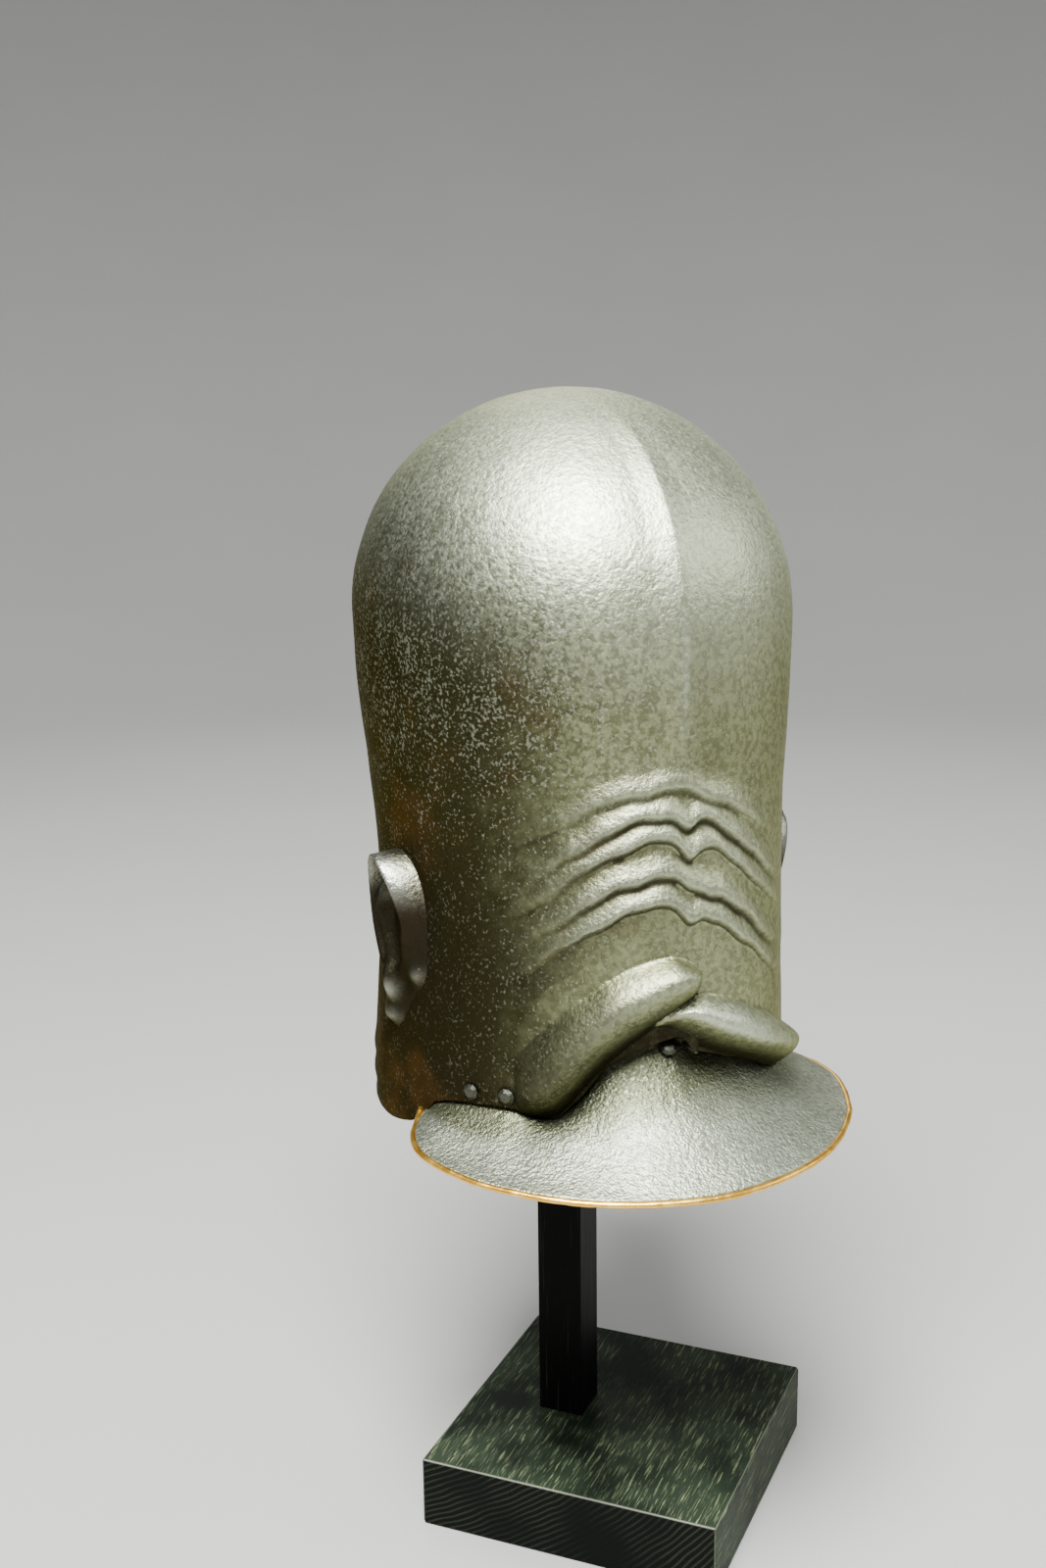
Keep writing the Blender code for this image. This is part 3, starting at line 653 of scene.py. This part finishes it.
front = np.linspace(0, 46, 96)
sides = np.linspace(47, 112, 58)
behind = np.linspace(114.5, 180, 28)
half = np.radians(np.concatenate([front, sides, behind]))
turn = np.concatenate([-half[-2:0:-1], half])
hem = hem_height(turn)
first = fold_height(0, turn) - FOLD_STEP
calm = 0.30 * hem + 0.70 * first
levels = [hem + (calm - hem) * share for share in np.linspace(0, 1, 46)]
levels += [calm + (first - calm) * share for share in np.linspace(0, 1, 16)[1:-1]]
for fold in range(len(FOLDS["height"])):
    crest = fold_height(fold, turn)
    levels += [crest - FOLD_STEP * share for share in (1.0, 0.8, 0.6, 0.4, 0.2, 0.0)]
    following = crest + 0.010
    if fold + 1 < len(FOLDS["height"]):
        following = fold_height(fold + 1, turn) - FOLD_STEP
    levels += [crest + (following - crest) * share for share in np.linspace(0, 1, 8)[1:-1]]
last = levels[-1]
levels += [last + (SHOULDER_HEIGHT - last) * share for share in np.linspace(0, 1, 24)[1:]]
for climb in np.linspace(0, np.pi / 2, 48)[1:-1]:
    levels.append(SHOULDER_HEIGHT + DOME_HEIGHT * np.sin(climb) + 0 * turn)
height = np.array(levels)
angles = np.broadcast_to(turn, height.shape)
radius, wear_and_highlight, painted_shade = embossed(angles, height)
skin = point(angles, radius, height)
normals = facing(skin, True)
quiet = blend(0, 0.006, height - hem)[..., None]
skin = skin + normals * hammered(skin, HAMMERING, 5)[..., None] * quiet
crown = np.array([[0, 0, BLOCK_HEIGHT + BOWL_LIFT + BOWL_HEIGHT]])
fine_rows, wide_rows = np.arange(0, LINING_FINE, 2), np.arange(LINING_FINE, len(skin) - 1, 6)
lining_rows = np.concatenate([fine_rows, wide_rows, [len(skin) - 1]])
lining = skin[lining_rows] - normals[lining_rows] * WALL
rows, columns = height.shape
outer = np.arange(rows * columns).reshape(rows, columns)
top = rows * columns
inner = top + 1 + np.arange(len(lining_rows) * columns).reshape(-1, columns)
bottom = inner[-1, -1] + 1
faces = tiles(outer, True).tolist()
faces += [(a, b, top) for a, b in zip(outer[-1], np.roll(outer[-1], -1))]
outside = len(faces)
faces += tiles(inner[::-1], True).tolist()
faces += [(b, a, bottom) for a, b in zip(inner[-1], np.roll(inner[-1], -1))]
faces += tiles(np.array([inner[0], outer[0]]), True).tolist()
shape = np.concatenate([skin.reshape(-1, 3), crown, lining.reshape(-1, 3), crown - (0, 0, WALL)])
spare = np.zeros(len(shape) - rows * columns)
degrees = np.degrees(angles)
toward_ear = 1 - blend(10, 90, np.abs(degrees + 90))
climbing = height - EAR_CLIMB * toward_ear
below_dome = 1 - blend(0.225, 0.335, climbing)
off_ear = np.abs((degrees + 270) % 360 - 180)
# Russet patina below the dome, at the back and darker low on the sides, with painted shade added on the
# right side toward the ear, where its line climbs higher.
russet_and_shade = 0.08 + 0.24 * below_dome * (1 - blend(70, 120, off_ear)) + 0.85 * toward_ear * below_dome
russet_and_shade = russet_and_shade + 0.42 * below_dome * blend(60, 110, np.abs(degrees))
russet_and_shade = russet_and_shade + 0.15 * (1 - blend(0.10, 0.17, height)) * blend(20, 60, np.abs(degrees))
# Painted shade over the right temple, low in front of the ear.
temple_shade = (1 - blend(14, 68, np.abs(degrees + 78))) * (1 - blend(0.100, 0.225, height))
painted_shade = np.maximum(painted_shade, 0.70 * temple_shade)
# Painted shade in a ring round each side rivet.
for node in sorted(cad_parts):
    if node.startswith("rivet_") and node != "rivet_centre":
        painted_shade = np.maximum(painted_shade, shade_ring_round(node, skin))
# Painted highlight over the upper front of the crown, its lower line climbing toward the right ear.
painted_highlight = blend(0.215, 0.320, climbing) * (1 - 0.6 * blend(50, 120, np.abs(degrees + 15)))
wear_and_highlight = np.maximum(wear_and_highlight, 0.86 * painted_highlight)
# Painted glints, densest beside the right brow at the foot of the dome; they also deepen the pits.
beside_brow = 1 - blend(22, 64, np.abs(degrees + 56))
glints_and_pits = 0.25 + 0.62 * beside_brow * (1 - blend(0.03, 0.10, np.abs(height - 0.272)))
numbers = {
    "wear_and_highlight": np.concatenate([wear_and_highlight.reshape(-1), spare]),
    "painted_shade": np.concatenate([painted_shade.reshape(-1), spare]),
    "russet_and_shade": np.concatenate([np.clip(russet_and_shade, 0, 1).reshape(-1), spare]),
    "glints_and_pits": np.concatenate([glints_and_pits.reshape(-1), spare]),
}
russet_iron = patinated_iron(
    "russet iron",
    dark=(0.034, 0.032, 0.012),
    grey=(0.35, 0.375, 0.21),
    worn=(0.60, 0.66, 0.52),
    shine=0.47,
    glint_flecks=0.40,
    rust=0.55,
)
lacquer = Finish("inner lacquer", 0.45, 0.2)
brushed = lacquer.noise(60.0, 3.0, 0.6)
lacquer.colour(lacquer.mix(brushed, LACQUER_DARK, LACQUER_BROWN))
lacquer.bump((brushed, 0.0004))
# The lacquer covers the lining. The last strip of faces, the lower edge, stays iron.
parts = np.zeros(len(faces))
parts[outside:-columns] = 1
bowl = make_piece("bowl_shell", shape, faces, [russet_iron, lacquer], numbers, parts)
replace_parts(bowl, "bowl")

# The ears: each is embossed from its own plate and seated on the bowl's side, with a rolled outer
# rim, an inner ridge, a deep hollow, the small flap in front of it and a soft lobe.
EAR_HEIGHT = 0.092
EAR_WIDTH = 0.048
EAR_RISE = 0.01491
EAR_LIFT = 0.110
EAR_ANGLE = math.radians(80)
EAR_EGG = 0.24
EAR_SUNK_IN = 0.0003
EAR_BACK = 0.0010
EAR_LEAN = (0.75, 0.35, 0.30)


def hump(x, y, at, wide, tall):
    """Soft mound of height 1: exp(-(dx / wide)^2 - (dy / tall)^2)."""
    return np.exp(-(((x - at[0]) / wide) ** 2) - ((y - at[1]) / tall) ** 2)


def ridge(x, y, path, width):
    """Rounded ridge of height 1 along a path of short straight runs: exp(-(nearest / width)^2)."""
    nearest = np.full(x.shape, 9.0)
    for (ax, ay), (bx, by) in zip(path, path[1:]):
        run = (bx - ax) ** 2 + (by - ay) ** 2
        share = np.clip(((x - ax) * (bx - ax) + (y - ay) * (by - ay)) / run, 0, 1)
        nearest = np.minimum(nearest, np.hypot(x - ax - share * (bx - ax), y - ay - share * (by - ay)))
    return np.exp(-((nearest / width) ** 2))


def ear_relief(x, y, share, turn):
    """Height of the ear over the bowl, as a share of EAR_RISE, and how much painted shade each place
    gets: in the hollow, the notch and on the lower flank. x runs to the back and y up, both from -1 to
    1, share is 1 on the outline and turn is 0 at the back and a quarter at the top. The rim rises from
    the outline to the edge of an oval hollow."""

    def oval(x, y):
        return np.hypot((x - 0.16) / 0.76, (y - 0.30) / 0.66)

    turn = np.where(turn > 1.5 * np.pi, turn - 2 * np.pi, turn)
    out = oval(np.cos(turn) * (1 + EAR_EGG * np.sin(turn)), np.sin(turn))
    here = oval(x, y)
    stands = 0.36 + 0.64 * np.exp(-(((turn - math.radians(115)) / 1.15) ** 2))
    flank = 1 - np.clip((here - 1) / (out - 1), 0, 1) ** 1.5
    rim = stands * np.where(here > 1, flank, np.exp(-(((1 - here) / 0.12) ** 2)))
    root = ridge(x, y, ((-0.60, 0.12), (-0.42, 0.0), (-0.16, -0.04)), 0.10)
    inner = ridge(x, y, ((0.40, 0.56), (0.52, 0.30), (0.46, 0.02), (0.26, -0.22), (0.05, -0.38)), 0.12)
    fork = ridge(x, y, ((0.48, 0.32), (0.22, 0.52), (0.02, 0.62)), 0.09)
    flap = hump(x, y, (-0.86, -0.27), 0.24, 0.11)
    notch = hump(x, y, (-0.46, -0.44), 0.22, 0.07)
    corner = hump(x, y, (-0.02, -0.54), 0.26, 0.13)
    lobe = hump(x, y, (-0.02, -0.84), 0.36, 0.12)
    high = 0.10 + 0.20 * root + 0.40 * inner + 0.24 * fork + 0.50 * flap + 0.40 * corner + 0.50 * lobe
    high = (high - 0.20 * notch) * (1 - blend(0.86, 1.0, share))
    # Painted shade in the hollow and the notch, and on the flank low down, less on the flap, corner and
    # lobe.
    deep = (1 - blend(0.74, 1.0, here)) * (1 - 0.45 * np.maximum(inner, fork))
    raised = np.maximum(0.55 * flap, np.maximum(0.8 * corner, 0.6 * lobe))
    shaded = 0.98 * (1 - blend(0.32, 0.84, y)) * (1 - raised)
    return np.maximum(high + rim, 0.02 * (1 - share)), np.maximum(np.maximum(deep, 0.8 * notch), shaded)


def make_ear(name, side, finish):
    """Ear as a closed shell: rings from its outline in to the middle, and a back just inside. It
    leans out more at the top and at the back, by the shares in EAR_LEAN. side is -1 on the right,
    where the painted shade is stronger."""
    rings, spokes = np.linspace(1, 0.015, 62), np.linspace(0, 2 * np.pi, 128, endpoint=False)
    share, turn = np.meshgrid(rings, spokes, indexing="ij")
    x = share * np.cos(turn) * (1 + EAR_EGG * np.sin(turn))
    x = x * (1 + 0.20 * np.exp(-(((turn - math.radians(200)) / 0.35) ** 2)))
    y = share * np.sin(turn)
    lean = EAR_LEAN[0] + share * (EAR_LEAN[1] * np.sin(turn) + EAR_LEAN[2] * np.cos(turn))
    angle = side * (EAR_ANGLE + (x + 0.30 * blend(-0.1, 1, -y)) * EAR_WIDTH / BOWL_WIDTH)
    height = EAR_LIFT + y * EAR_HEIGHT / 2
    rise, painted_shade = ear_relief(x, y, share, turn)
    radius = plain_radius(angle, height) + rise * lean * EAR_RISE - EAR_SUNK_IN
    face = point(angle, radius, height)
    back = point(angle[0], plain_radius(angle[0], height[0]) - EAR_BACK, height[0])
    grid = np.arange(face.shape[0] * face.shape[1]).reshape(face.shape[:2])
    under = grid[-1, -1] + 1 + np.arange(face.shape[1])
    faces = tiles(grid, True).tolist() + tiles(np.array([under, grid[0]]), True).tolist()
    faces += [grid[-1].tolist(), under[::-1].tolist()]
    if side < 0:
        faces = [f[::-1] for f in faces]
    # Painted shade, weaker on the left ear, and painted highlight on the raised parts where not shaded.
    painted_shade = painted_shade * (1.0 if side < 0 else 0.75)
    wear_and_highlight = np.clip(rise * 1.3 - 0.40, 0, 1) * (1 - painted_shade)
    spare = np.zeros(len(under))
    numbers = {
        "wear_and_highlight": np.concatenate([wear_and_highlight.reshape(-1), spare]),
        "painted_shade": np.concatenate([painted_shade.reshape(-1), spare]),
        "russet_and_shade": np.full(face.shape[0] * face.shape[1] + len(under), 0.45),
        "glints_and_pits": np.zeros(face.shape[0] * face.shape[1] + len(under)),
    }
    return make_piece(name, np.concatenate([face.reshape(-1, 3), back]), faces, [finish], numbers)


ear_iron = patinated_iron(
    "ear iron",
    dark=(0.050, 0.044, 0.022),
    grey=(0.28, 0.29, 0.22),
    worn=(0.50, 0.52, 0.46),
    shine=0.40,
    glint_flecks=0.30,
    rust=0.30,
)
for side, word in ((-1, "right"), (1, "left")):
    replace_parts(make_ear(f"ear_{word}_shell", side, ear_iron), f"ear_{word}")

# The eye shade: one curved plate of lighter, finely pitted iron that flares out under the brows. Its
# root is tucked up behind the bowl's edge and riveted there.
VISOR_WALL = 0.0018
VISOR_TUCK = 0.006
VISOR_CLEARANCE = 0.0013
VISOR_OVERHANG = 0.0535
VISOR_SAG = 0.003
VISOR_END = math.radians(66.5)
VISOR_HAMMERING = 0.00022

# Its free edge by angle: how far it stands out beyond the bowl's edge, as a share of
# VISOR_OVERHANG, and its height as a share of BOWL_HEIGHT.
SHADE_EDGE = {
    "angle": (0, 20, 40, 55, 61, 64.5, 66.5),
    "beyond": (1.00, 0.88, 0.66, 0.52, 0.36, 0.18, 0.04),
    "height": (0.064, 0.0655, 0.0675, 0.0735, 0.0785, 0.0835, 0.0875),
}


def shade_point(angle, share):
    """Outer face of the eye shade, from its free edge at share 0 in a straight line up to the bowl's
    edge at share 1, less a sag of 4 VISOR_SAG share (1 - share). The waves of the bowl's edge fade
    out below it, as 1 - share^6."""
    degrees = np.degrees(np.abs(angle))
    degrees = degrees * (1 - np.exp(-degrees / 8))
    beyond = through(SHADE_EDGE["angle"], SHADE_EDGE["beyond"], degrees) * VISOR_OVERHANG
    low = through(SHADE_EDGE["angle"], SHADE_EDGE["height"], degrees) * BOWL_HEIGHT
    reach = hem_radius(angle) + beyond
    root = hem_radius(angle) - WALL - VISOR_CLEARANCE
    sag = 4 * VISOR_SAG * share * (1 - share) * (1 - blend(46, 64, degrees))
    exact = hem_height(angle)
    evened = np.mean([hem_height(angle + np.radians(d)) for d in np.linspace(-15, 15, 21)], axis=0)
    top = exact + (evened - exact) * (1 - share**6) * (1 - blend(30, 48, degrees))
    return point(angle, reach + (root - reach) * share, low + (top - low) * share - sag)


share, turn = np.meshgrid(np.linspace(0, 1, 56), np.linspace(-VISOR_END, VISOR_END, 300), indexing="ij")
plate = shade_point(turn, share)
tuck = plate[-1:] + (0, 0, VISOR_TUCK)
plate = np.concatenate([plate, (plate[-1:] + tuck) / 2, tuck])
normals = facing(plate, False)
fading = (1 - blend(0.85, 1.0, np.linspace(0, 1.05, len(plate))))[:, None, None]
plate = plate + normals * hammered(plate, VISOR_HAMMERING, 11)[..., None] * fading
under = plate - normals * VISOR_WALL
rows, columns = plate.shape[:2]
outer = np.arange(rows * columns).reshape(rows, columns)
inner = outer + rows * columns
faces = tiles(outer, False).tolist() + tiles(inner[::-1], False).tolist()
edges = [np.array([inner[0], outer[0]]), np.array([outer[-1], inner[-1]])]
edges += [np.array([outer[:, 0], inner[:, 0]]), np.array([inner[:, -1], outer[:, -1]])]
for strip in edges:
    faces += tiles(strip, False).tolist()
flat = np.zeros(2 * rows * columns)
shade_iron = patinated_iron(
    "grey shade iron",
    dark=(0.125, 0.135, 0.08),
    grey=(0.43, 0.47, 0.375),
    worn=(0.6, 0.6, 0.6),
    shine=0.46,
    glint_flecks=0.45,
    rust=0.0,
    fine=1.35,
)
upward = np.linspace(0, 1.05, len(plate))[:, None]
leftward = np.degrees(turn[:1])
# Painted shade under the brows: darker toward the root, and more on the right side.
root_shade = 0.20 - 0.20 * blend(4, 34, leftward)
root_shade = root_shade + 0.85 * blend(0.40, 0.90, upward) * (1 - 0.5 * blend(-4, 20, leftward))
numbers = {
    "wear_and_highlight": flat,
    # Painted shade in a ring round the centre rivet.
    "painted_shade": np.concatenate([shade_ring_round("rivet_centre", plate).reshape(-1), np.zeros(rows * columns)]),
    "russet_and_shade": np.tile(root_shade.reshape(-1), 2),
    "glints_and_pits": flat + 0.3,
}
shape = np.concatenate([plate.reshape(-1, 3), under.reshape(-1, 3)])
visor = make_piece("eye_shade", shape, faces, [shade_iron], numbers)
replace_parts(visor, "visor")

# The edging: a gilt copper strip folded round the eye shade's free edge, worn through to the copper
# in places and slightly dented.
RIM_WIDTH = 0.0031
RIM_DEPTH = 0.0028
RIM_OVERLAP = 0.0002
GOLD_DEEP = (0.84, 0.46, 0.06)
GOLD_BRIGHT = (0.95, 0.62, 0.13)
COPPER = (0.14, 0.075, 0.03)

stations = np.linspace(-VISOR_END, VISOR_END, 260)
middle = shade_point(stations, 0 * stations)
within = shade_point(stations, 0 * stations + 0.1)
along = np.gradient(middle, axis=0)
along /= np.linalg.norm(along, axis=1)[:, None]
outward = middle - within
outward -= along * np.sum(outward * along, axis=1)[:, None]
outward /= np.linalg.norm(outward, axis=1)[:, None]
raised = np.cross(outward, along)
raised *= np.sign(raised[:, 2])[:, None]
middle = middle + outward * (RIM_WIDTH / 2 - RIM_OVERLAP) - raised * VISOR_WALL / 2
around = np.linspace(0, 2 * np.pi, 14, endpoint=False)
dented = 1 + 0.05 * np.sin(61 * stations + 1) + 0.03 * np.sin(143 * stations)
out = np.cos(around)[None, :, None] * outward[:, None] * RIM_WIDTH / 2
up = np.sin(around)[None, :, None] * raised[:, None] * RIM_DEPTH / 2
strip = middle[:, None] + (out + up) * dented[:, None, None]
grid = np.arange(strip.shape[0] * strip.shape[1]).reshape(strip.shape[:2])
faces = tiles(grid, True)[:, ::-1].tolist() + [grid[0].tolist(), grid[-1][::-1].tolist()]
gilt = Finish("worn gilt copper", 0.32, 1.0)
rub = gilt.noise(120.0, 4.0, 0.65)
speck = gilt.noise(900.0, 2.0, 0.5)
gold = gilt.mix(gilt.band(rub, 0.42, 0.62), GOLD_DEEP, GOLD_BRIGHT)
gold = gilt.mix(gilt.band(speck * 0.5 + rub * 0.5, 0.60, 0.72), gold, COPPER)
gilt.colour(gold)
gilt.feed(gilt.shader, "Roughness", 0.24 + rub * 0.25)
gilt.bump((rub, 0.0003), (speck, 0.00008))
rim = make_piece("visor_edging", strip.reshape(-1, 3), faces, [gilt])
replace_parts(rim, "visor_rim")

# The rivets: small domed iron heads, one near the median of the eye shade and two on each side of
# the bowl's edge.
RIVET_DARK = (0.040, 0.042, 0.030)
RIVET_PALE = (0.12, 0.125, 0.10)

rivet_iron = Finish("rivet iron", 0.32, 1.0)
rivet_grain = rivet_iron.noise(700.0, 3.0, 0.6)
rivet_iron.colour(rivet_iron.mix(rivet_grain, RIVET_DARK, RIVET_PALE))
rivet_iron.feed(rivet_iron.shader, "Roughness", 0.30 + rivet_grain * 0.22)
rivet_iron.bump((rivet_grain, 0.0002))
for node in sorted(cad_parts):
    if node.startswith("rivet_"):
        paint(node, rivet_iron)
